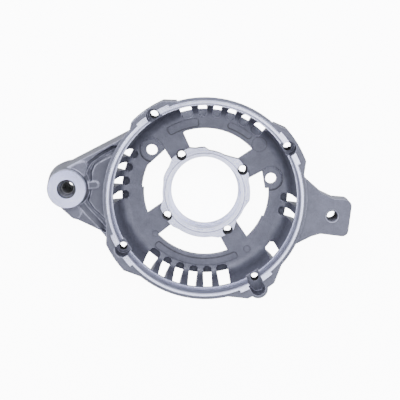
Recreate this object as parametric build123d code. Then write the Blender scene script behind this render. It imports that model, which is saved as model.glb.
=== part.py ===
from build123d import *
from math import cos, sin, radians
import os

# Alternator drive-end housing, millimetres.
# Z is the bearing axis. The nose face of the hub is z = 0 and the open rim is up.
# The pivot ear points to -X and the adjusting lug to +X.

# Heights
RIM_Z = 52.0
LIP_HEIGHT = 2.2
REGISTER_DEPTH = 12.5
WEB_Z = RIM_Z - 39.5
WEB_THICKNESS = 3.8
HUB_HEIGHT = 5.5
LIP_STEP_Z = RIM_Z - LIP_HEIGHT
LEDGE_Z = RIM_Z - REGISTER_DEPTH
WEB_BACK_Z = WEB_Z - WEB_THICKNESS
HUB_Z = WEB_Z + HUB_HEIGHT

# Rim and shoulder: the stator sits in the register, and the other radii follow from it
REGISTER_R = 65.2
LEDGE_WIDTH = 1.3
LIP_WIDTH = 2.5
LIP_STEP = 2.3
BODY_DRAFT = 1.7
WALL_THICKNESS = 6.5
INNER_SHOULDER_R = 8.0
OUTER_SHOULDER_R = 9.8
LEDGE_R = REGISTER_R - LEDGE_WIDTH
LIP_R = REGISTER_R + LIP_WIDTH
BODY_R = LIP_R + LIP_STEP
BODY_FOOT_R = BODY_R - BODY_DRAFT
WALL_R = BODY_FOOT_R - WALL_THICKNESS
EDGE_BREAK = 0.4

# Bearing seat and nose
SEAT_R = 26.0
SEAT_DEPTH = 15.5
SEAT_MOUTH = 1.0
NOSE_LIP = 1.8
NOSE_WALL = 3.2
NOSE_BREAK = 1.2
NOSE_R = SEAT_R + NOSE_WALL
# Raised ring round the seat: wall outside the seat, from angle, to angle
HUB_LANDS = [
    (6.5, 350, 374), (8.0, 24, 45), (4.3, 62, 84), (6.4, 90, 102), (7.9, 109, 133), (5.4, 146, 160),
    (4.2, 170, 188), (7.4, 199, 227), (6.2, 235, 279), (7.9, 287, 307), (4.2, 318, 338)]

# Bolts and screws stand in four lines, one on each arm
FIRST_BOLT_ANGLE = 31.5
BOLT_ANGLES = [FIRST_BOLT_ANGLE + 90 * step for step in range(4)]

# Screws of the bearing retainer
RETAINER_HOLE_R = 2.6
RETAINER_NOTCH_R = 3.3
RETAINER_R = SEAT_R + 5.6

# Through bolts that hold the stator between the two end housings
BOLT_R = REGISTER_R + 1.9
BOLT_HOLE_R = 2.75
POCKET_R = 4.9
POCKET_FLOOR_Z = RIM_Z - 17.0
POCKET_RUNOUT = 5.4
POCKET_RUNOUT_TURN = -0.9
POCKET_WALL = 2.0
BOSS_TOP_Z = RIM_Z - 1.8
BOSS_BACK_Z = RIM_Z - 28.0
BOSS_FACE_WIDTH = 4.2
BOSS_FACE_ANGLE = 10.5
# Outer lobe at each bolt: height over the body, crest from and to, foot from and to
LOBES = [
    (3.9, -10.6, 8.8, -19.0, 19.2), (3.0, -8.3, 11.9, -16.8, 17.2),
    (5.0, -7.0, 9.8, -20.0, 21.4), (5.6, -8.4, 8.0, -20.6, 19.9)]

# Cooling slots round the shoulder, in groups of first angle and count
SLOT_WIDTH = 6.0
END_SLOT_WIDTH = 8.3
SLOT_LENGTH = 7.5
SHORT_SLOT_LENGTH = 2.6
SLOT_CORNER = 1.6
SLOT_RAMP = 1.1
SLOT_RAMP_START = 0.7
SLOT_TOP_GAP = 2.0
SLOT_PITCH = 10.0
SLOT_GROUP_ANGLES = [(61.5, 4), (151.8, 4), (241.8, 4), (346.3, 2)]
END_SLOT_ANGLES = [50.5, 102.8, 231.2, 282.5]
SHORT_SLOT_ANGLE = 320.2
SLOT_RAMP_R = WALL_R - SLOT_RAMP
SLOT_TOP_Z = LEDGE_Z - SLOT_TOP_GAP

# Windows in the web and the four arms between them
WINDOW_R = 45.8
# Half widths of each arm: at the hub and at the rim, on its left and on its right
ARM_WIDTHS = [(8.1, 8.7, 7.9, 8.9), (8.2, 8.2, 7.6, 9.6), (7.4, 9.2, 9.3, 8.4), (8.3, 9.0, 7.5, 8.4)]
ARM_START_R = 32.0
# Land left standing inside the window radius: radius, from angle, to angle
WINDOW_LANDS = [(45.1, 135, 175.5), (43.7, 175.5, 205), (44.6, 308, 337)]
# Straight land beside each web pad: distance from the axis, direction, from and to along it
PAD_LANDS = [(41.7, 132.2, -20.0, 20.0), (43.0, 10.1, -5.0, 12.0)]

# Drilled pads in the web
WEB_HOLE_R = 3.9
WEB_PAD_R = 8.0
WEB_PAD_HEIGHT = 1.2
WEB_HOLES = [(-37.7, 30.4), (47.3, 9.9)]

# Ribs behind the four arms
RIB_WIDTH = 5.0
RIB_DEPTH = 4.5
RIB_END = 8.0

# Pivot ear
PIVOT_X = -94.8
PIVOT_Y = 7.1
PIVOT_FACE_R = 13.0
PIVOT_TOP_R = 13.6
PIVOT_WAIST_R = 16.4
PIVOT_FOOT_R = 15.2
PIVOT_BORE_R = 6.6
PIVOT_TOP_Z = RIM_Z - 2.0
PIVOT_SHOULDER_Z = PIVOT_TOP_Z - 1.5
PIVOT_WAIST_Z = RIM_Z - 30.0
PIVOT_BACK_Z = 2.0
EAR_TOP_Z = RIM_Z - 9.0
EAR_BACK_Z = 17.0
EAR_DRAFT = 4.0
EAR_POCKET_DEPTH = 8.0
EAR_POCKET_DRAFT = 20.0
EAR_POCKET_CORNER = 2.2
EAR_STEP_DEPTH = 3.2
EAR_STEP_DRAFT = 20.0
EAR_STEP_CORNER = 3.0
EAR_BACK_POCKET_DEPTH = 9.0
EAR_POCKET_FLOOR_Z = EAR_TOP_Z - EAR_POCKET_DEPTH
# Top outline of the ear: distance from the pivot, angle, and distance outside the body, angle
EAR_UPPER_SIDE = [(14.0, 125.0), (14.4, 91.1)]
EAR_BODY_SIDE = [(-1.1, 141.7), (-16.2, 158.0), (-9.2, 208.0), (3.8, 202.1), (6.0, 197.3)]
EAR_LOWER_SIDE = [(23.6, -72.2), (21.7, -80.5), (12.9, 225.0)]
# Floor of the front pocket round the body: distance outside the body, angle
EAR_POCKET = [
    (1.1, 151.5), (7.0, 158.1), (12.1, 163.3), (15.0, 169.0), (15.0, 182.4), (10.7, 186.8), (4.7, 193.5),
    (3.0, 197.0), (-12.0, 200.0), (-9.0, 148.0)]
# Step in that pocket, against the body
EAR_STEP = [
    (-2.0, 150.6), (7.0, 159.1), (11.0, 162.9), (12.0, 167.1), (10.6, 175.5), (12.4, 182.0), (8.4, 187.0),
    (-1.0, 197.5), (-16.0, 190.0), (-16.0, 158.0)]
EAR_BACK_POCKET = [(3.1, 151.0), (11.0, 162.0), (7.1, 186.7), (1.4, 193.0), (-14.0, 202.0), (-11.7, 149.0)]
# Flat wings beside the pivot face: distance from the pivot, angle
WING_TOP_Z = EAR_TOP_Z + 2.0
WINGS = [
    [(0, 0), (13.6, 91.3), (20.1, 63.7), (22.8, 55.4), (20.6, 46.9), (14.1, 34.3)],
    [(0, 0), (15.8, -59.0), (19.9, -62.1), (22.8, -72.6), (21.5, -80.2), (14.5, -108.2)]]
WING_CORNER = 1.0
MIDDLE_RIB_WIDTH = 4.8
MIDDLE_RIB_LENGTH = 21.6
MIDDLE_RIB_ANGLE = 6.0
MIDDLE_RIB_Z = EAR_TOP_Z - 1.5

# Steel bush pressed into the pivot from the back
BUSH_BORE_R = 4.0
BUSH_TOP_Z = RIM_Z - 9.5
BUSH_BACK_Z = PIVOT_BACK_Z - 1.5
BUSH_BREAK = 0.5
BUSH_MOUTH = 1.0

# Adjusting lug, its outline measured from its hole
LUG_X = 87.5
LUG_Y = -11.9
LUG_HOLE_R = 3.4
LUG_HOLE_MOUTH = 0.9
LUG_TOP_Z = RIM_Z - 4.0
LUG_THICKNESS = 18.0
LUG_CORNER = 4.5
LUG_BEND = 6.0
LUG_TIP = [(13.9, 10.9), (10.9, -14.7)]
LUG_NECK_TOP = [(-7.3, 15.9), (0.8, 12.0)]
LUG_NECK_BOTTOM = [(-7.9, -12.3), (-14.1, -14.1)]


def at(radius, angle, centre=(0.0, 0.0)):
    return (centre[0] + radius * cos(radians(angle)), centre[1] + radius * sin(radians(angle)))


def from_body(points):
    return [at(BODY_R + outside, angle) for outside, angle in points]


def from_pivot(points):
    return [at(radius, angle, (PIVOT_X, PIVOT_Y)) for radius, angle in points]


def plate(points, z_low, z_high, corner=0.0):
    face = make_face(Polyline(*points, close=True))
    if corner > 0:
        face = fillet(face.vertices(), corner)
    return Pos(0, 0, z_low) * extrude(face, z_high - z_low)


def drafted(points, z_low, z_high, draft, corner):
    """A round-cornered prism on the points at z_low, that narrows upwards by the draft angle."""
    face = fillet(make_face(Polyline(*points, close=True)).vertices(), corner)
    return Pos(0, 0, z_low) * extrude(face, z_high - z_low, taper=draft)


def disc(x, y, radius, z_low, z_high):
    return Pos(x, y, (z_low + z_high) / 2) * Cylinder(radius, z_high - z_low)


def arc(radius, a_start, a_end):
    return ThreePointArc(at(radius, a_start), at(radius, (a_start + a_end) / 2), at(radius, a_end))


def sector(r_in, r_out, a_start, a_end, z_low, z_high):
    lines = [
        Line(at(r_in, a_start), at(r_out, a_start)),
        arc(r_out, a_start, a_end),
        Line(at(r_out, a_end), at(r_in, a_end)),
        arc(r_in, a_end, a_start),
    ]
    return Pos(0, 0, z_low) * extrude(make_face(lines), z_high - z_low)


def shoulder(radius, foot_r, foot_z, steps):
    """Points of a rounded corner that rises from (foot_r, foot_z) outwards."""
    points = []
    for step in range(steps + 1):
        angle = radians(90 * step / steps)
        points.append((foot_r + radius * sin(angle), foot_z + radius * (1 - cos(angle))))
    return points


# Rim, shoulder and web, turned as one section
def shell():
    inner = shoulder(INNER_SHOULDER_R, WALL_R - INNER_SHOULDER_R, WEB_Z, 3)
    outer = shoulder(OUTER_SHOULDER_R, BODY_FOOT_R - OUTER_SHOULDER_R, WEB_BACK_Z, 2)
    section = [(0, WEB_BACK_Z), (0, WEB_Z)] + inner + [
        (LEDGE_R, LEDGE_Z), (REGISTER_R, LEDGE_Z), (REGISTER_R, RIM_Z - EDGE_BREAK),
        (REGISTER_R + EDGE_BREAK, RIM_Z), (LIP_R - EDGE_BREAK, RIM_Z), (LIP_R, RIM_Z - EDGE_BREAK),
        (LIP_R, LIP_STEP_Z), (BODY_R, LIP_STEP_Z)] + outer[::-1]
    face = Plane.XZ * make_face(Polyline(*section, close=True))
    return revolve(face, Axis.Z)


# Raised ring with lands for the four screws, and the plain round nose behind it
def hub():
    outline = []
    for index, (wall, a_start, a_end) in enumerate(HUB_LANDS):
        next_wall, next_start, next_end = HUB_LANDS[(index + 1) % len(HUB_LANDS)]
        outline.append(arc(SEAT_R + wall, a_start, a_end))
        outline.append(Line(at(SEAT_R + wall, a_end), at(SEAT_R + next_wall, next_start)))
    body = Pos(0, 0, WEB_BACK_Z) * extrude(make_face(outline), HUB_Z - WEB_BACK_Z)
    nose = disc(0, 0, NOSE_R, 0, WEB_BACK_Z + WEB_THICKNESS / 2)
    nose = chamfer(nose.edges().group_by(Axis.Z)[0], NOSE_BREAK)
    return body + nose


def arm_side(angle, hub_width, rim_width, low, high):
    reach = WINDOW_R + 2
    outline = [(0, 0), (0, hub_width), (ARM_START_R, hub_width), (reach, rim_width), (reach, 0)]
    return Rot(0, 0, angle) * plate(outline, low, high)


# Windows between the four arms
def windows():
    low = WEB_BACK_Z - RIB_DEPTH - 1
    high = HUB_Z + 1
    cut = disc(0, 0, WINDOW_R, low, high)
    for angle, (hub_left, rim_left, hub_right, rim_right) in zip(BOLT_ANGLES, ARM_WIDTHS):
        cut -= arm_side(angle, hub_left, rim_left, low, high)
        cut -= arm_side(angle, -hub_right, -rim_right, low, high)
    for radius, a_start, a_end in WINDOW_LANDS:
        cut -= sector(radius, WINDOW_R + 2, a_start, a_end, low, high)
    for distance, angle, start, end in PAD_LANDS:
        reach = WINDOW_R + 5
        land = plate([(distance, start), (reach, start), (reach, end), (distance, end)], low, high)
        cut -= Rot(0, 0, angle) * land
    return cut


def arm_ribs():
    low = WEB_BACK_Z - RIB_DEPTH
    end_r = BODY_FOOT_R - RIB_END
    side = Polyline(
        (NOSE_R - 1, low), (end_r - RIB_DEPTH * 2, low), (end_r, WEB_BACK_Z + 1),
        (NOSE_R - 1, WEB_BACK_Z + 1), close=True)
    rib = extrude(Plane.XZ * make_face(side), RIB_WIDTH / 2, both=True)
    body = Rot(0, 0, BOLT_ANGLES[0]) * rib
    for angle in BOLT_ANGLES[1:]:
        body += Rot(0, 0, angle) * rib
    return body


# Cooling slot with broken inner corners and a floor that ramps down and outwards
def slot(width, angle, length=SLOT_LENGTH):
    half = width / 2
    inner_r = WALL_R - length
    reach = BODY_R + 7
    plan = [
        (inner_r, -half + SLOT_CORNER), (inner_r + SLOT_CORNER, -half), (reach, -half),
        (reach, half), (inner_r + SLOT_CORNER, half), (inner_r, half - SLOT_CORNER)]
    ramp_start = WALL_R - SLOT_LENGTH - 1
    side = Polyline(
        (ramp_start, WEB_Z - SLOT_RAMP_START), (SLOT_RAMP_R, WEB_BACK_Z), (SLOT_RAMP_R, 0),
        (reach, 0), (reach, SLOT_TOP_Z), (ramp_start, SLOT_TOP_Z), close=True)
    ramp = extrude(Plane.XZ * make_face(side), half + 1, both=True)
    return Rot(0, 0, angle) * (plate(plan, 0, SLOT_TOP_Z) & ramp)


# Bolt bosses: an outer lobe and a raised face at each through bolt
def bolt_lobes():
    x, y = at(BOLT_R + POCKET_RUNOUT, BOLT_ANGLES[3] + POCKET_RUNOUT_TURN)
    body = disc(x, y, POCKET_R + POCKET_WALL, BOSS_BACK_Z, BOSS_TOP_Z)
    for angle, (height, crest_start, crest_end, foot_start, foot_end) in zip(BOLT_ANGLES, LOBES):
        crest_r = BODY_R + height
        outline = [
            Line((0, 0), at(BODY_R - 1, angle + foot_start)),
            Line(at(BODY_R - 1, angle + foot_start), at(crest_r, angle + crest_start)),
            arc(crest_r, angle + crest_start, angle + crest_end),
            Line(at(crest_r, angle + crest_end), at(BODY_R - 1, angle + foot_end)),
            Line(at(BODY_R - 1, angle + foot_end), (0, 0)),
        ]
        body += Pos(0, 0, BOSS_BACK_Z) * extrude(make_face(outline), BOSS_TOP_Z - BOSS_BACK_Z)
        body += sector(
            REGISTER_R - 1, REGISTER_R + BOSS_FACE_WIDTH, angle - BOSS_FACE_ANGLE, angle + BOSS_FACE_ANGLE,
            BOSS_BACK_Z, RIM_Z)
    return body


# Pocket, register notch and hole of one through bolt
def bolt_cut(angle):
    x, y = at(BOLT_R, angle)
    cut = disc(x, y, POCKET_R, POCKET_FLOOR_Z, RIM_Z + 1)
    notch = plate(
        [(WALL_R - 0.6, -POCKET_R), (BOLT_R, -POCKET_R), (BOLT_R, POCKET_R), (WALL_R - 0.6, POCKET_R)],
        POCKET_FLOOR_Z, RIM_Z + 1)
    return cut + Rot(0, 0, angle) * notch + disc(x, y, BOLT_HOLE_R, 0, RIM_Z)


# The last pocket runs outwards into its round nose
def pocket_runout():
    angle = BOLT_ANGLES[3] + POCKET_RUNOUT_TURN
    run = plate(
        [(BOLT_R, -POCKET_R), (BOLT_R + POCKET_RUNOUT, -POCKET_R),
         (BOLT_R + POCKET_RUNOUT, POCKET_R), (BOLT_R, POCKET_R)], POCKET_FLOOR_Z, RIM_Z + 1)
    end = disc(*at(BOLT_R + POCKET_RUNOUT, angle), POCKET_R, POCKET_FLOOR_Z, RIM_Z + 1)
    return Rot(0, 0, angle) * run + end


# Ear between the body and the pivot: two edge ribs round a stepped pocket
def ear_web():
    outline = from_pivot(EAR_UPPER_SIDE) + from_body(EAR_BODY_SIDE) + from_pivot(EAR_LOWER_SIDE)
    top = Pos(0, 0, EAR_TOP_Z) * make_face(Polyline(*outline, close=True))
    ear = extrude(top, EAR_BACK_Z - EAR_TOP_Z, taper=-EAR_DRAFT)
    ear -= drafted(
        from_body(EAR_POCKET), EAR_POCKET_FLOOR_Z, EAR_TOP_Z + 1, -EAR_POCKET_DRAFT, EAR_POCKET_CORNER)
    ear += drafted(
        from_body(EAR_STEP), EAR_POCKET_FLOOR_Z - 1, EAR_TOP_Z - EAR_STEP_DEPTH, EAR_STEP_DRAFT,
        EAR_STEP_CORNER)
    return ear - plate(from_body(EAR_BACK_POCKET), EAR_BACK_Z - 1, EAR_BACK_Z + EAR_BACK_POCKET_DEPTH)


# Pivot boss with its two wings and the middle rib that ends in the pocket
def pivot_boss():
    turned = Polyline(
        (0, PIVOT_BACK_Z), (PIVOT_FOOT_R, PIVOT_BACK_Z), (PIVOT_WAIST_R, PIVOT_WAIST_Z),
        (PIVOT_TOP_R, PIVOT_SHOULDER_Z), (0, PIVOT_SHOULDER_Z), close=True)
    body = Pos(PIVOT_X, PIVOT_Y, 0) * revolve(Plane.XZ * make_face(turned), Axis.Z)
    body += disc(PIVOT_X, PIVOT_Y, PIVOT_FACE_R, EAR_TOP_Z, PIVOT_TOP_Z)
    for wing in WINGS:
        body += plate(from_pivot(wing), EAR_POCKET_FLOOR_Z, WING_TOP_Z, WING_CORNER)
    half = MIDDLE_RIB_WIDTH / 2
    end = MIDDLE_RIB_LENGTH - half
    rib = plate([(0, -half), (end, -half), (end, half), (0, half)], EAR_POCKET_FLOOR_Z - 1, MIDDLE_RIB_Z)
    rib += disc(end, 0, half, EAR_POCKET_FLOOR_Z - 1, MIDDLE_RIB_Z)
    return body + Pos(PIVOT_X, PIVOT_Y, 0) * Rot(0, 0, MIDDLE_RIB_ANGLE) * rib


def adjusting_lug():
    tip = [(LUG_X + dx, LUG_Y + dy) for dx, dy in LUG_TIP]
    neck_top = [(LUG_X + dx, LUG_Y + dy) for dx, dy in LUG_NECK_TOP]
    neck_bottom = [(LUG_X + dx, LUG_Y + dy) for dx, dy in LUG_NECK_BOTTOM]
    outline = [at(BODY_R - 1.9, 14.1)] + neck_top + tip + neck_bottom
    outline += [at(BODY_R - 1.6, -28.7), at(WALL_R - 10, -5)]
    face = make_face(Polyline(*outline, close=True))
    face = fillet([v for v in face.vertices() if v.X > LUG_X + LUG_HOLE_R], LUG_CORNER)
    bend_points = neck_top + neck_bottom
    bends = [v for v in face.vertices() for x, y in bend_points if abs(v.X - x) + abs(v.Y - y) < 0.01]
    face = fillet(bends, LUG_BEND)
    return Pos(0, 0, LUG_TOP_Z - LUG_THICKNESS) * extrude(face, LUG_THICKNESS)


def lug_hole():
    mouth = Cone(LUG_HOLE_R, LUG_HOLE_R + LUG_HOLE_MOUTH, LUG_HOLE_MOUTH)
    mouth = Pos(LUG_X, LUG_Y, LUG_TOP_Z - LUG_HOLE_MOUTH / 2) * mouth
    return disc(LUG_X, LUG_Y, LUG_HOLE_R, 0, RIM_Z) + mouth


def housing():
    clear = disc(0, 0, REGISTER_R + EDGE_BREAK, 0, RIM_Z + 1)
    body = shell() + (bolt_lobes() - clear)
    for first_angle, count in SLOT_GROUP_ANGLES:
        for step in range(count):
            body -= slot(SLOT_WIDTH, first_angle + step * SLOT_PITCH)
    for angle in END_SLOT_ANGLES:
        body -= slot(END_SLOT_WIDTH, angle)
    body -= slot(END_SLOT_WIDTH, SHORT_SLOT_ANGLE, SHORT_SLOT_LENGTH)
    body += ear_web() + pivot_boss() - clear
    body += adjusting_lug() - clear
    for x, y in WEB_HOLES:
        body += disc(x, y, WEB_PAD_R, WEB_BACK_Z, WEB_Z + WEB_PAD_HEIGHT)
    body += arm_ribs()
    body -= windows()
    body += hub()
    for angle in BOLT_ANGLES:
        body -= bolt_cut(angle)
        x, y = at(RETAINER_R, angle)
        body -= disc(x, y, RETAINER_NOTCH_R, WEB_Z, HUB_Z + 1)
        body -= disc(x, y, RETAINER_HOLE_R, 0, HUB_Z)
    body -= pocket_runout()
    for x, y in WEB_HOLES:
        body -= disc(x, y, WEB_HOLE_R, 0, RIM_Z)
    body -= disc(0, 0, SEAT_R, HUB_Z - SEAT_DEPTH, RIM_Z)
    body -= disc(0, 0, SEAT_R + SEAT_MOUTH, HUB_Z - SEAT_MOUTH, RIM_Z)
    body -= disc(0, 0, SEAT_R - NOSE_LIP, -1, RIM_Z)
    body -= disc(PIVOT_X, PIVOT_Y, PIVOT_BORE_R, 0, RIM_Z)
    return body - lug_hole()


def pivot_bush():
    sleeve = disc(PIVOT_X, PIVOT_Y, PIVOT_BORE_R, BUSH_BACK_Z, BUSH_TOP_Z)
    sleeve = chamfer(sleeve.edges().filter_by(GeomType.CIRCLE).group_by(Axis.Z)[0], BUSH_BREAK)
    sleeve -= disc(PIVOT_X, PIVOT_Y, BUSH_BORE_R, BUSH_BACK_Z - 1, BUSH_TOP_Z + 1)
    mouth = sleeve.edges().filter_by(GeomType.CIRCLE).group_by(Axis.Z)[-1].sort_by(SortBy.RADIUS)[0]
    return chamfer(mouth, BUSH_MOUTH)


os.makedirs("parts", exist_ok=True)
export_step(housing(), "parts/housing.step")
export_step(pivot_bush(), "parts/pivot_bush.step")
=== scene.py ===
import bpy
from math import atan2, cos, degrees, pi, radians, sin
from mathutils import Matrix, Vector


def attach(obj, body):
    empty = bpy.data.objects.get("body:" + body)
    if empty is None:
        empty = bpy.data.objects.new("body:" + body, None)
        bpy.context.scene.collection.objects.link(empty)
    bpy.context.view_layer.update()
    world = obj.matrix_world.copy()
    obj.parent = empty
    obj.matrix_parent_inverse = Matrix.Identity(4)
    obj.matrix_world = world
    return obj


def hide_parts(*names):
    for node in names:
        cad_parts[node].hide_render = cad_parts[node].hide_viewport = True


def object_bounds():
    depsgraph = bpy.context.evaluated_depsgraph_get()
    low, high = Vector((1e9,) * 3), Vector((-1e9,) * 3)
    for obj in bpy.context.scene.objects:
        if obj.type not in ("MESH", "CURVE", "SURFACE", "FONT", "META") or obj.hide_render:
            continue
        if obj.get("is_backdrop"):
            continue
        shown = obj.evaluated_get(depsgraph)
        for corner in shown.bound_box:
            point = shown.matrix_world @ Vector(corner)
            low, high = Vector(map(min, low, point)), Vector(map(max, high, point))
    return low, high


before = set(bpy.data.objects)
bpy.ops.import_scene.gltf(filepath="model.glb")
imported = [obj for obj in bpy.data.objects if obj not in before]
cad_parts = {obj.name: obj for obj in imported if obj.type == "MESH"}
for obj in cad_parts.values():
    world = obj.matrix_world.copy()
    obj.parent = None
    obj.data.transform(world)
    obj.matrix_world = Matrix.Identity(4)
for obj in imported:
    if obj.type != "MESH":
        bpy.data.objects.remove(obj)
cad_low, cad_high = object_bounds()

# Sizes in millimetres, as in the housing's drawing
MM = 0.001
RIM_Z = 52.0
WEB_Z = 12.5
HUB_Z = 18.0
HUB_RING_R = 34.0
SEAT_MOUTH_R = 27.0
NOSE_R = 29.2
LEDGE_Z = 39.5
LEDGE_R = 63.9
REGISTER_R = 65.2
LIP_R = 67.7
LIP_STEP_Z = 49.8
BODY_R = 70.0
PIVOT = (-94.8, 7.1)
PIVOT_FACE_R = 13.0
PIVOT_TOP_Z = 50.0
PIVOT_BORE_R = 6.6
BUSH_BORE_R = 4.0
BUSH_THREAD = 1.25
LUG_TOP_Z = 48.0
LUG_HOLE = (87.5, -11.9)
LUG_HOLE_R = 3.4
LUG_THREAD = 1.25
BOLT_ANGLES = [31.5, 121.5, 211.5, 301.5]
BOLT_R = 67.1
BOLT_HOLE_R = 2.75
RETAINER_R = 31.6
NOTCH_R = 3.3
WEB_PADS = [(-37.7, 30.4), (47.3, 9.9)]
WEB_PAD_R = 8.0
WEB_PAD_HEIGHT = 1.2
EAR_TOP_Z = 43.0
EAR_POCKET_Z = 35.0
# Sides of the ear: a point on the side, and the way to the pocket
EAR_UPPER_SIDE = ((-95.1, 21.5), (0.459, -0.888))
EAR_LOWER_SIDE = ((-87.6, -15.4), (0.434, 0.9))
# Where the finish changes, in millimetres
SEAT_LINE_R = 28.5
LUG_SINK_R = 4.9
PIVOT_SIDE_X = -75.0
EAR_POCKET_X = -59.0
EAR_ROOT_X = -38.0
LUG_ROOT_X = 70.0

# Low relief on the web: radius in, radius out, from angle, to angle, height
WEB_PANELS = {
    "relief_top_left": (47.4, 53.2, 95, 121, 0.5),
    "relief_top_right": (48.9, 53.1, 50, 71, 0.5),
    "relief_bottom": (48.6, 53.4, 227, 297, 0.7),
}
PANEL_CORNER = 1.8
PANEL_ROOT = 0.2
# Round marks of the ejector pins: x, y, radius
PIN_MARKS = {
    "pin_mark_top": (38.9, 34.2, 5.3),
    "pin_mark_right": (30.5, -41.6, 2.4),
    "pin_mark_left": (-35.6, -30.3, 2.1),
}
PIN_MARK_DEPTH = 0.7
PIN_MARK_RISE = 0.5
PIN_MARK_DISH = 0.25
PIN_MARK_EDGE = 0.15
PANEL_EDGE = 0.35
SMOOTH_ANGLE = radians(35)
EDGE_ANGLE = radians(40)
# Points closer than this are merged, in metres
COPY_MERGE = 0.000005
PANEL_MERGE = 0.00001


class Value:
    """A number in a shader that can be used in sums."""

    def __init__(self, shader, socket):
        self.shader = shader
        self.socket = socket

    def maths(self, operation, *others):
        return self.shader.add("ShaderNodeMath", {"operation": operation}, dict(enumerate((self,) + others)))

    def __add__(self, other):
        return self.maths("ADD", other)

    def __sub__(self, other):
        return self.maths("SUBTRACT", other)

    def __mul__(self, other):
        return self.maths("MULTIPLY", other)

    def __rsub__(self, other):
        return self.shader.add("ShaderNodeMath", {"operation": "SUBTRACT"}, {0: other, 1: self})

    __radd__ = __add__

    def rises(self, start, end):
        """0 below start and 1 above end."""
        limits = {"Value": self, "From Min": start, "From Max": end}
        return self.shader.add("ShaderNodeMapRange", {"clamp": True}, limits)

    def falls(self, start, end):
        """1 below start and 0 above end."""
        return 1 - self.rises(start, end)

    def reaches(self, level, start=0.2, full=0.1):
        """0 more than start under a level, and 1 from full under it upwards."""
        return self.rises(level - start, level - full)

    def within(self, level, full=0.1, gone=0.2):
        """1 up to full over a level, and 0 more than gone over it."""
        return self.falls(level + full, level + gone)

    def near(self, level, full, gone):
        """1 closer to a level than full, and 0 farther from it than gone."""
        return (self - level).maths("ABSOLUTE").falls(full, gone)

    def either(self, other):
        return self.maths("MAXIMUM", other)


class Shader:
    """One material, or the room round the part, with a method that adds any node."""

    def __init__(self, name, room=False):
        self.material = bpy.data.worlds.new(name) if room else bpy.data.materials.new(name)
        self.material.use_nodes = True
        self.tree = self.material.node_tree
        self.surface = self.tree.nodes["Background" if room else "Principled BSDF"]

    def add(self, kind, settings, inputs, output=0):
        node = self.tree.nodes.new(kind)
        for key, setting in settings.items():
            setattr(node, key, setting)
        for key, given in inputs.items():
            self.put(node.inputs[key], given)
        return Value(self, node.outputs[output])

    def put(self, socket, given):
        if isinstance(given, Value):
            self.tree.links.new(given.socket, socket)
        else:
            socket.default_value = given

    def set(self, **inputs):
        for key, given in inputs.items():
            self.put(self.surface.inputs[key.replace("_", " ")], given)

    def split(self, vector, axis):
        return self.add("ShaderNodeSeparateXYZ", {}, {0: vector}, axis)

    def place(self):
        """Adds the place on the part in millimetres, and its distance from the bearing axis."""
        metres = self.add("ShaderNodeTexCoord", {}, {}, "Object")
        self.point = self.add("ShaderNodeVectorMath", {"operation": "SCALE"}, {0: metres, "Scale": 1 / MM})
        self.x, self.y, self.z = [self.split(self.point, axis) for axis in "XYZ"]
        self.radius = self.distance((0.0, 0.0))

    def distance(self, centre):
        """Distance from an upright axis."""
        return length(self.x - centre[0], self.y - centre[1])

    def from_side(self, start, inward):
        """Distance from an upright side, towards the inside."""
        return (self.x - start[0]) * inward[0] + (self.y - start[1]) * inward[1]

    def noise(self, size, detail, roughness=0.5, point=None):
        """Even noise from 0 to 1, with bumps about size millimetres across."""
        inputs = {"Vector": point or self.point, "Scale": 1.0 / size}
        inputs.update(Detail=detail, Roughness=roughness)
        return self.add("ShaderNodeTexNoise", {}, inputs)

    def mix(self, factor, first, second):
        return self.add("ShaderNodeMix", {"data_type": "RGBA"}, {0: factor, 6: first, 7: second}, 2)

    def bump(self, height, distance, normal=None):
        inputs = {"Height": height, "Distance": distance * MM}
        if normal:
            inputs["Normal"] = normal
        return self.add("ShaderNodeBump", {}, inputs)


def length(across, along):
    return (across * across + along * along).maths("SQRT")


def grey(level, blue):
    return (level, level * (1 + (blue - 1) * 0.06), level * blue, 1.0)


CAST_LEVEL = 0.110
CAST_BLUE = 1.32
CAST_METALLIC = 0.45
CAST_BUMP = 0.10
MACHINED_LEVEL = 0.84
MACHINED_BLUE = 1.30
LATHE_PITCH = 0.37
LATHE_BUMP = 0.005
THREAD_BUMP = 0.2
BUSH_BUMP = 0.10
# Broken edges of the casting, and how much rounder they look on the ear
EDGE_R = 0.8
EAR_EDGE_R = 1.4
UPWARDS = (0.0, 0.0, 1.0, 1.0)

# Dark colours that paint shade where it falls: in the holes and the ear pocket, at the feet of the web's
# pads, panels and pin marks, at the countersink's rim, along the seat's chamfer, on the register wall and on
# the pivot face.
HOLE_PAINTED_SHADE = grey(0.02, 1.1)
FOOT_PAINTED_SHADE = grey(0.03, 1.2)
SINK_RIM_PAINTED_SHADE = grey(0.04, 1.2)
POCKET_PAINTED_SHADE = grey(0.05, CAST_BLUE)
HUB_SHADE = grey(0.12, CAST_BLUE)
WALL_PAINTED_SHADE = grey(0.18, CAST_BLUE)
PIVOT_TONE_AND_PAINTED_SHADE = grey(0.30, 1.7)
OILY_STEEL = grey(0.07, 1.05)
BARE_STEEL = grey(0.13, 1.05)
BUSH_BORE_STEEL = grey(0.17, 0.98)
# How strongly each shade covers the metal, from 0 to 1
HOLE_COVER = 0.92
FOOT_COVER = 0.75
SINK_COVER = 0.5
POCKET_COVER = 0.3
WALL_COVER = 0.85
SEAT_LINE_COVER = 0.8
RING_FACE_COVER = 0.22
# How far the ear pocket's shading is turned upwards, from 0 to 1
POCKET_SOFTNESS = 0.7


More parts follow.
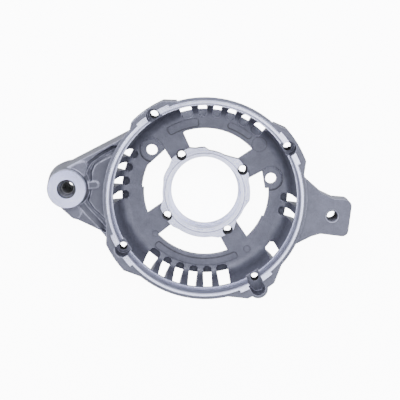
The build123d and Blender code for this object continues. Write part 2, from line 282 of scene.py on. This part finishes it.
def cast_look(shader):
    """Colour, roughness and height of a shot-blasted aluminium casting."""
    cloud = shader.noise(size=14.0, detail=2.0)
    stain = shader.noise(size=3.5, detail=4.0, roughness=0.6)
    grain = shader.noise(size=0.7, detail=2.0, roughness=0.6)
    pits = shader.noise(size=1.6, detail=3.0, roughness=0.65)
    tone = cloud * 0.35 + stain * 0.3 + grain * 0.35
    dark = grey(CAST_LEVEL * 0.7, CAST_BLUE)
    light = grey(CAST_LEVEL * 1.3, CAST_BLUE)
    colour = shader.mix(tone.rises(0.3, 0.7), dark, light)
    return colour, 0.36 + stain * 0.14, grain * 0.7 + pits


def machined_mask(shader):
    """1 on the faces that are turned or milled after casting."""
    z, radius = shader.z, shader.radius
    rim = z.rises(RIM_Z - 0.5, RIM_Z - 0.4)
    lip = z.reaches(LIP_STEP_Z) * radius.reaches(REGISTER_R, start=0.4, full=0.2) * radius.within(LIP_R)
    register = z.reaches(LEDGE_Z, start=0.15, full=0.05) * radius.reaches(LEDGE_R)
    register = register * radius.within(REGISTER_R, gone=0.25)
    ring = z.reaches(HUB_Z, start=0.15, full=0.05) * z.within(HUB_Z)
    ring = ring * radius.falls(HUB_RING_R + 2.0, HUB_RING_R + 2.5)
    seat = radius.within(SEAT_MOUTH_R) * z.within(HUB_Z, gone=0.3)
    nose = z.within(0.0) * radius.falls(NOSE_R, NOSE_R + 0.5)
    from_pivot = shader.distance(PIVOT)
    pivot = z.reaches(PIVOT_TOP_Z) * from_pivot.within(PIVOT_FACE_R, full=0.0, gone=0.1)
    mask = from_pivot.within(PIVOT_BORE_R, full=0.05, gone=0.1)
    for face in (rim, lip, register, ring, seat, nose, pivot):
        mask = mask.either(face)
    return mask


def register_wall(shader):
    """1 on the upright wall of the stator register and the broken edges above and below it."""
    inner = shader.radius.rises(REGISTER_R - 0.9, REGISTER_R - 0.1)
    outer = shader.radius.falls(REGISTER_R + 0.3, REGISTER_R + 1.1)
    return inner * outer * shader.z.reaches(LEDGE_Z)


def ear_web(shader):
    """1 on the ear between the body and the pivot boss, where the cast forms are softest."""
    return shader.x.falls(EAR_ROOT_X - 2.0, EAR_ROOT_X) * shader.radius.rises(BODY_R + 1.0, BODY_R + 2.0)


def ear_pocket(shader):
    """1 on the floor and walls of the ear's front pocket."""
    upper = shader.from_side(*EAR_UPPER_SIDE).rises(2.0, 2.5)
    lower = shader.from_side(*EAR_LOWER_SIDE).rises(1.0, 1.5)
    outside_body = shader.radius.rises(BODY_R + 0.2, BODY_R + 0.6)
    end = shader.x.falls(EAR_POCKET_X - 1.0, EAR_POCKET_X)
    floor = shader.z.rises(EAR_POCKET_Z - 1.5, EAR_POCKET_Z - 0.5)
    top = shader.z.falls(EAR_TOP_Z, EAR_TOP_Z + 0.4)
    return upper * lower * outside_body * end * floor * top


def hole_mask(shader):
    """1 inside the screw holes, the bolt holes and the lug hole."""
    mask = shader.distance(LUG_HOLE).within(LUG_HOLE_R, gone=0.3)
    for angle in BOLT_ANGLES:
        across, along = cos(radians(angle)), sin(radians(angle))
        screw = shader.distance((RETAINER_R * across, RETAINER_R * along))
        bolt = shader.distance((BOLT_R * across, BOLT_R * along))
        mask = mask.either(screw.falls(NOTCH_R + 0.3, NOTCH_R + 0.6))
        mask = mask.either(bolt.within(BOLT_HOLE_R, full=0.05))
    return mask


def panel_foot_shade(shader, r_in, r_out, a_start, a_end):
    """1 along the foot of a curved panel, where shade is painted, strongest on its half nearer the bearing
    axis.
    """
    middle = (r_in + r_out) / 2
    centre = radians((a_start + a_end) / 2)
    away = shader.y.maths("ARCTAN2", shader.x) - (centre if centre < pi else centre - 2 * pi)
    across = (shader.radius - middle).maths("ABSOLUTE") - ((r_out - r_in) / 2 - PANEL_CORNER)
    half_length = radians(a_end - a_start) / 2 * middle
    along = (away * middle).maths("ABSOLUTE") - (half_length - PANEL_CORNER)
    corner = length(across.either(0.0), along.either(0.0))
    edge = corner + across.either(along).maths("MINIMUM", 0.0) - PANEL_CORNER
    return edge.near(0.0, 0.25, 0.65) * (shader.radius.falls(middle, r_out - 0.5) * 0.6 + 0.4)


def web_foot_shade(shader):
    """1 along the foot of each panel, pin mark and pad on the web, where shade is painted; on the pads it is
    heavier on the -Y side, away from the back light.
    """
    lines = [panel_foot_shade(shader, *panel[:4]) for panel in WEB_PANELS.values()]
    for x, y, radius in PIN_MARKS.values():
        lines.append(shader.distance((x, y)).near(radius, 0.2, 0.5) * 0.5)
    for x, y in WEB_PADS:
        # Painted shadow: the pads' feet are darker on their -Y side, away from the back light.
        in_shade = (shader.y - y).falls(-WEB_PAD_R, WEB_PAD_R)
        foot = shader.distance((x, y)).near(WEB_PAD_R + 0.3, 0.4, 1.0)
        lines.append(foot * (in_shade * 1.2 + 0.2))
    feet_shade = lines[0]
    for line in lines[1:]:
        feet_shade = feet_shade.either(line)
    return feet_shade * shader.z.reaches(WEB_Z) * shader.z.within(WEB_Z + WEB_PAD_HEIGHT)


def turned_lines(distance, pitch):
    """Fine rings left by the lathe round an axis."""
    return (distance * (2 * pi / pitch)).maths("SINE")


def countersink(shader, colour, holes):
    """A clean ring round the lug's hole, with painted shade as a dark line round it."""
    from_hole = shader.distance(LUG_HOLE)
    on_top = shader.z.reaches(LUG_TOP_Z, start=0.3)
    ring = from_hole.falls(LUG_SINK_R - 0.2, LUG_SINK_R) * on_top * (1 - holes)
    edge = from_hole.near(LUG_SINK_R, 0.1, 0.4) * on_top
    colour = shader.mix(ring * 0.3, colour, grey(MACHINED_LEVEL * 0.7, MACHINED_BLUE))
    return shader.mix(edge * SINK_COVER, colour, SINK_RIM_PAINTED_SHADE)


def flank_light_and_edge_highlight(shader, colour, round_edge, holes):
    """Painted light on the lug's flank that faces +Y, towards the back softboxes, and an uneven painted
    highlight, partly wear, on the convex and concave edges.
    """
    surface = shader.add("ShaderNodeNewGeometry", {}, {}, "Normal")
    # Painted light: the lug's faces turned to +Y, towards the back softboxes, are lighter.
    lit_flank = shader.split(surface, "Y").rises(0.4, 0.9) * shader.x.rises(LUG_ROOT_X, LUG_ROOT_X + 6.0)
    colour = shader.mix(lit_flank * 0.35, colour, grey(MACHINED_LEVEL * 0.5, MACHINED_BLUE))
    dot = {"operation": "DOT_PRODUCT"}
    turn = 1 - shader.add("ShaderNodeVectorMath", dot, {0: round_edge, 1: surface}, "Value")
    # Painted highlight, partly wear: lighter colour on convex and concave edges alike, patchy by noise.
    wear_and_glint = 0.3 + shader.noise(size=4.0, detail=3.0, roughness=0.6).rises(0.4, 0.6) * 0.5
    edge_wear_and_highlight = turn.rises(0.03, 0.2) * wear_and_glint * (1 - holes)
    return shader.mix(edge_wear_and_highlight, colour, grey(MACHINED_LEVEL * 0.75, MACHINED_BLUE))


def turned_face(shader, wall):
    """Colour, scuffs and height of the faces turned round the bearing axis or the pivot, with painted shade
    on the register wall, the pivot face and along the seat's chamfer.
    """
    on_ear = shader.x.falls(PIVOT_SIDE_X - 1.0, PIVOT_SIDE_X)
    from_axis = shader.radius * (1 - on_ear) + shader.distance(PIVOT) * on_ear
    along_cut = from_axis + shader.z
    row = shader.add("ShaderNodeCombineXYZ", {}, {"X": along_cut})
    bands = shader.noise(size=1.1, detail=2.0, roughness=0.6, point=row)
    scuff = shader.noise(size=5.0, detail=3.0, roughness=0.6)
    shine = (scuff * 0.4 + bands * 0.6).rises(0.35, 0.65)
    dull = grey(MACHINED_LEVEL * 0.84, MACHINED_BLUE)
    clean = grey(MACHINED_LEVEL * 1.06, MACHINED_BLUE)
    # Painted shade on the register wall and its broken edges.
    colour = shader.mix(wall * WALL_COVER, shader.mix(shine, dull, clean), WALL_PAINTED_SHADE)
    # The pivot face is darker and bluer, with painted shade heavier on its upper half.
    upper_half = (shader.y - PIVOT[1]).rises(0.0, PIVOT_FACE_R)
    colour = shader.mix(on_ear * (upper_half * 0.3 + 0.5), colour, PIVOT_TONE_AND_PAINTED_SHADE)
    # Painted shade: a dark line along the seat's chamfer; the hub ring face is also a little darker.
    seat_line = shader.radius.near(SEAT_LINE_R, 0.15, 0.45) * SEAT_LINE_COVER
    ring_inside = shader.radius.rises(SEAT_LINE_R - 0.1, SEAT_LINE_R + 0.1)
    ring_face = ring_inside * shader.radius.falls(HUB_RING_R + 2.5, HUB_RING_R + 3.0) * RING_FACE_COVER
    colour = shader.mix(seat_line.either(ring_face) * shader.z.reaches(HUB_Z, start=0.3), colour, HUB_SHADE)
    return colour, scuff, turned_lines(along_cut, LATHE_PITCH) * (1 - wall)


def cast_aluminium():
    shader = Shader("cast_aluminium")
    shader.place()
    colour, rough, height = cast_look(shader)
    holes = hole_mask(shader)
    turned = machined_mask(shader) * (1 - holes)
    wall = register_wall(shader)
    pocket = ear_pocket(shader)
    edge_radius = (ear_web(shader) * EAR_EDGE_R + EDGE_R) * MM
    round_edge = shader.add("ShaderNodeBevel", {"samples": 6}, {"Radius": edge_radius})

    # Painted shade: near-black colour in the holes, the screw notches and a thin ring round each notch,
    # where shade falls.
    colour = shader.mix(holes * HOLE_COVER, colour, HOLE_PAINTED_SHADE)
    colour = countersink(shader, colour, holes)
    # Painted shade at the feet of the web's panels, pin marks and pads.
    colour = shader.mix(web_foot_shade(shader) * FOOT_COVER, colour, FOOT_PAINTED_SHADE)
    # Painted shade: the ear pocket's floor and walls are darkened as a recess.
    colour = shader.mix(pocket * POCKET_COVER, colour, POCKET_PAINTED_SHADE)
    colour = flank_light_and_edge_highlight(shader, colour, round_edge, holes)
    bright, scuff, lines = turned_face(shader, wall)

    cast_normal = shader.bump(height, CAST_BUMP, round_edge)
    cast_normal = shader.bump(turned_lines(shader.z, LUG_THREAD) * holes, THREAD_BUMP, cast_normal)
    cast_normal = shader.mix(pocket * POCKET_SOFTNESS, cast_normal, UPWARDS)
    both = shader.mix(turned, cast_normal, shader.bump(lines, LATHE_BUMP))
    turned_rough = 0.20 + scuff * 0.1 + wall * 0.25
    shader.set(
        Base_Color=shader.mix(turned, colour, bright),
        Roughness=(rough * (1 - turned) + turned_rough * turned).either(holes * 0.85),
        Metallic=(CAST_METALLIC + turned * 0.5) * (1 - holes),
        Normal=shader.add("ShaderNodeVectorMath", {"operation": "NORMALIZE"}, {0: both}))
    return shader.material


def turned_steel():
    shader = Shader("turned_steel")
    shader.place()
    from_axis = shader.distance(PIVOT)
    inside = from_axis.falls(BUSH_BORE_R + 0.3, BUSH_BORE_R + 0.5)
    film = shader.noise(size=3.0, detail=4.0, roughness=0.6)
    colour = shader.mix(film.rises(0.35, 0.65), OILY_STEEL, BARE_STEEL)
    lines = turned_lines(from_axis * (1 - inside) + shader.z * inside, BUSH_THREAD)
    shader.set(
        Base_Color=shader.mix(inside, colour, BUSH_BORE_STEEL),
        Roughness=0.38 + film * 0.2 + inside * 0.25,
        Metallic=(1 - inside) * 0.8,
        Normal=shader.bump(lines, BUSH_BUMP))
    return shader.material


def relief_finish():
    shader = Shader("cast_relief")
    shader.place()
    colour, rough, height = cast_look(shader)
    # Painted shade at the feet of the panels and pin marks, as on the casting.
    shader.set(
        Base_Color=shader.mix(web_foot_shade(shader) * FOOT_COVER, colour, FOOT_PAINTED_SHADE),
        Roughness=rough,
        Metallic=CAST_METALLIC,
        Normal=shader.bump(height, CAST_BUMP))
    return shader.material


def start_edit(shape):
    bpy.context.view_layer.objects.active = shape
    shape.select_set(True)
    bpy.ops.object.mode_set(mode="EDIT")
    bpy.ops.mesh.select_all(action="SELECT")


def end_piece(shape, name, finish):
    """Puts the object at the origin and gives it its name, shading and finish."""
    shape.name = name
    shape.data.name = name
    bpy.ops.object.transform_apply(location=True, rotation=True, scale=True)
    bpy.ops.object.shade_smooth_by_angle(angle=SMOOTH_ANGLE)
    weights = shape.modifiers.new("flat faces lead", "WEIGHTED_NORMAL")
    weights.keep_sharp = True
    weights.weight = 90
    bpy.ops.object.modifier_apply(modifier="flat faces lead")
    shape.data.materials.clear()
    shape.data.materials.append(finish)
    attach(shape, "root")
    shape.select_set(False)


def close_ends():
    """Closes a spun profile and turns its faces outwards."""
    bpy.ops.mesh.select_all(action="SELECT")
    bpy.ops.mesh.remove_doubles(threshold=PANEL_MERGE)
    bpy.ops.mesh.select_all(action="DESELECT")
    bpy.ops.mesh.select_non_manifold()
    bpy.ops.mesh.fill_holes(sides=4)
    bpy.ops.mesh.select_all(action="SELECT")
    bpy.ops.mesh.normals_make_consistent(inside=False)


def soften(shape, width):
    """Rounds the edges of a piece."""
    bevel = shape.modifiers.new("soft edge", "BEVEL")
    bevel.width = width * MM
    bevel.segments = 2
    bevel.limit_method = "ANGLE"
    bevel.angle_limit = EDGE_ANGLE
    bpy.ops.object.modifier_apply(modifier="soft edge")


def arc_panel(name, finish, r_in, r_out, a_start, a_end, height):
    """A low curved pad with round ends, swept round the bearing axis."""
    bpy.ops.object.select_all(action="DESELECT")
    depth = height + PANEL_ROOT
    place = ((r_in + r_out) / 2 * MM, 0, (WEB_Z - PANEL_ROOT + depth / 2) * MM)
    bpy.ops.mesh.primitive_plane_add(size=1.0, location=place, rotation=(pi / 2, 0, 0))
    shape = bpy.context.object
    shape.scale = ((r_out - r_in) * MM, depth * MM, 1.0)
    bpy.ops.object.transform_apply(location=True, rotation=True, scale=True)
    start_edit(shape)
    steps = int((a_end - a_start) / 2)
    bpy.ops.mesh.spin(steps=steps, angle=radians(a_start - a_end), center=(0, 0, 0), axis=(0, 0, 1))
    close_ends()
    bpy.ops.mesh.select_mode(type="EDGE")
    bpy.ops.mesh.select_all(action="DESELECT")
    bpy.ops.object.mode_set(mode="OBJECT")
    shape.rotation_euler = (0, 0, radians(a_start))
    bpy.ops.object.transform_apply(location=True, rotation=True, scale=True)
    for edge in shape.data.edges:
        first, second = [shape.data.vertices[number].co for number in edge.vertices]
        upright = abs(first.z - second.z) > 0.5 * depth * MM
        turn = degrees(atan2(first.y, first.x)) % 360
        edge.select = upright and min(abs(turn - a_start), abs(turn - a_end)) < 0.1
    bpy.ops.object.mode_set(mode="EDIT")
    bpy.ops.mesh.bevel(offset=PANEL_CORNER * MM, segments=4)
    bpy.ops.object.mode_set(mode="OBJECT")
    soften(shape, PANEL_EDGE)
    end_piece(shape, name, finish)


def pin_mark(name, finish, x, y, radius):
    """The shallow round land that an ejector pin leaves, with a dished top."""
    bpy.ops.object.select_all(action="DESELECT")
    middle_z = WEB_Z + PIN_MARK_RISE - PIN_MARK_DEPTH / 2
    bpy.ops.mesh.primitive_cylinder_add(
        vertices=48, radius=radius * MM, depth=PIN_MARK_DEPTH * MM, location=(x * MM, y * MM, middle_z * MM))
    shape = bpy.context.object
    start_edit(shape)
    bpy.ops.mesh.select_all(action="DESELECT")
    bpy.ops.object.mode_set(mode="OBJECT")
    for face in shape.data.polygons:
        face.select = face.normal.z > 0.9
    bpy.ops.object.mode_set(mode="EDIT")
    bpy.ops.mesh.inset(thickness=min(0.5, radius * 0.2) * MM)
    bpy.ops.transform.translate(value=(0, 0, -PIN_MARK_DISH * MM))
    bpy.ops.object.mode_set(mode="OBJECT")
    soften(shape, PIN_MARK_EDGE)
    end_piece(shape, name, finish)


def smooth_copy(node, name, finish):
    """A merged copy of a CAD node, shaded smooth over its rounded corners."""
    bpy.ops.object.select_all(action="DESELECT")
    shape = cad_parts[node].copy()
    shape.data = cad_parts[node].data.copy()
    bpy.context.scene.collection.objects.link(shape)
    start_edit(shape)
    bpy.ops.mesh.remove_doubles(threshold=COPY_MERGE)
    bpy.ops.mesh.customdata_custom_splitnormals_clear()
    bpy.ops.object.mode_set(mode="OBJECT")
    end_piece(shape, name, finish)
    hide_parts(node)


smooth_copy("housing", "housing_casting", cast_aluminium())
smooth_copy("pivot_bush", "turned_bush", turned_steel())

relief = relief_finish()
for name, sizes in WEB_PANELS.items():
    arc_panel(name, relief, *sizes)
for name, sizes in PIN_MARKS.items():
    pin_mark(name, relief, *sizes)


# The floor, the lights and the camera are in metres
FLOOR_GLOW = 10.0
FLOOR_GAP = 0.0002
# Softboxes: place, size, watts, all aimed at the middle of the part
SOFTBOXES = {
    "back_wall": ((0.0, 1.30, 0.60), (1.8, 0.9), 12.0),
    "high_back": ((-0.05, 0.78, 1.10), (1.4, 0.28), 17.0),
    "front": ((0.06, -0.44, 1.10), (0.9, 0.40), 3.6),
    "left_side": ((-0.43, 0.0, 1.0), (0.35, 0.7), 3.2),
    "low_left": ((-1.0, 1.0, 0.27), (1.0, 0.34), 9.0),
    "left_fill": ((-0.75, -0.1, 0.45), (0.5, 0.6), 3.5),
    "right_fill": ((0.75, -0.1, 0.45), (0.5, 0.6), 3.5),
    "right_side": ((0.41, 0.0, 1.0), (0.35, 0.7), 4.0),
}
LIGHT_COLOUR = (0.91, 0.93, 1.0)
ROOM_COLOUR = (0.92, 0.94, 1.0, 1.0)
ROOM_LEVEL = 0.17
TABLE_LEVEL = 1.0
PALE = (0.85, 0.85, 0.86, 1.0)
WHITE = (1.0, 1.0, 1.0, 1.0)
# The camera looks down into the open side, a little off the bearing axis
CAMERA_PLACE = (-0.00341, 0.11204, 0.80167)
CAMERA_TILT = radians(-8.5)
LENS_LENGTH = 99.95


def stage_floor():
    bpy.ops.object.select_all(action="DESELECT")
    bpy.ops.mesh.primitive_plane_add(size=6.0, location=(0, 0, -FLOOR_GAP))
    floor = bpy.context.object
    floor.name = "studio_floor"
    shader = Shader("studio_floor")
    shader.set(Base_Color=PALE, Roughness=0.9, Emission_Color=WHITE, Emission_Strength=FLOOR_GLOW)
    floor.data.materials.append(shader.material)
    # The pale floor doesn't light the part, the room's lower half does
    floor.visible_diffuse = False
    floor.visible_glossy = False
    floor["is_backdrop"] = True


def studio_room():
    shader = Shader("studio", room=True)
    direction = shader.add("ShaderNodeTexCoord", {}, {}, "Generated")
    below = shader.split(direction, "Z").falls(-0.3, 0.0)
    shader.set(Color=ROOM_COLOUR, Strength=ROOM_LEVEL + below * TABLE_LEVEL)
    bpy.context.scene.world = shader.material


def softbox(name, place, size, watts):
    light = bpy.data.lights.new(name, "AREA")
    light.shape = "RECTANGLE"
    light.size, light.size_y = size
    light.energy = watts
    light.color = LIGHT_COLOUR
    lamp = bpy.data.objects.new(name, light)
    bpy.context.scene.collection.objects.link(lamp)
    lamp.location = place
    lamp.rotation_euler = lamp.location.to_track_quat("Z", "Y").to_euler()


stage_floor()
studio_room()
for name, settings in SOFTBOXES.items():
    softbox(name, *settings)

lens = bpy.data.cameras.new("camera")
lens.sensor_width = 36.0
lens.lens = LENS_LENGTH
lens.clip_start = 0.05
camera = bpy.data.objects.new("camera", lens)
camera.location = CAMERA_PLACE
camera.rotation_euler = (CAMERA_TILT, 0, 0)
bpy.context.scene.collection.objects.link(camera)
bpy.context.scene.camera = camera

bpy.context.view_layer.update()
look_low, look_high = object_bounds()
sizes = {"cad": [list(cad_low), list(cad_high)], "look": [list(look_low), list(look_high)]}
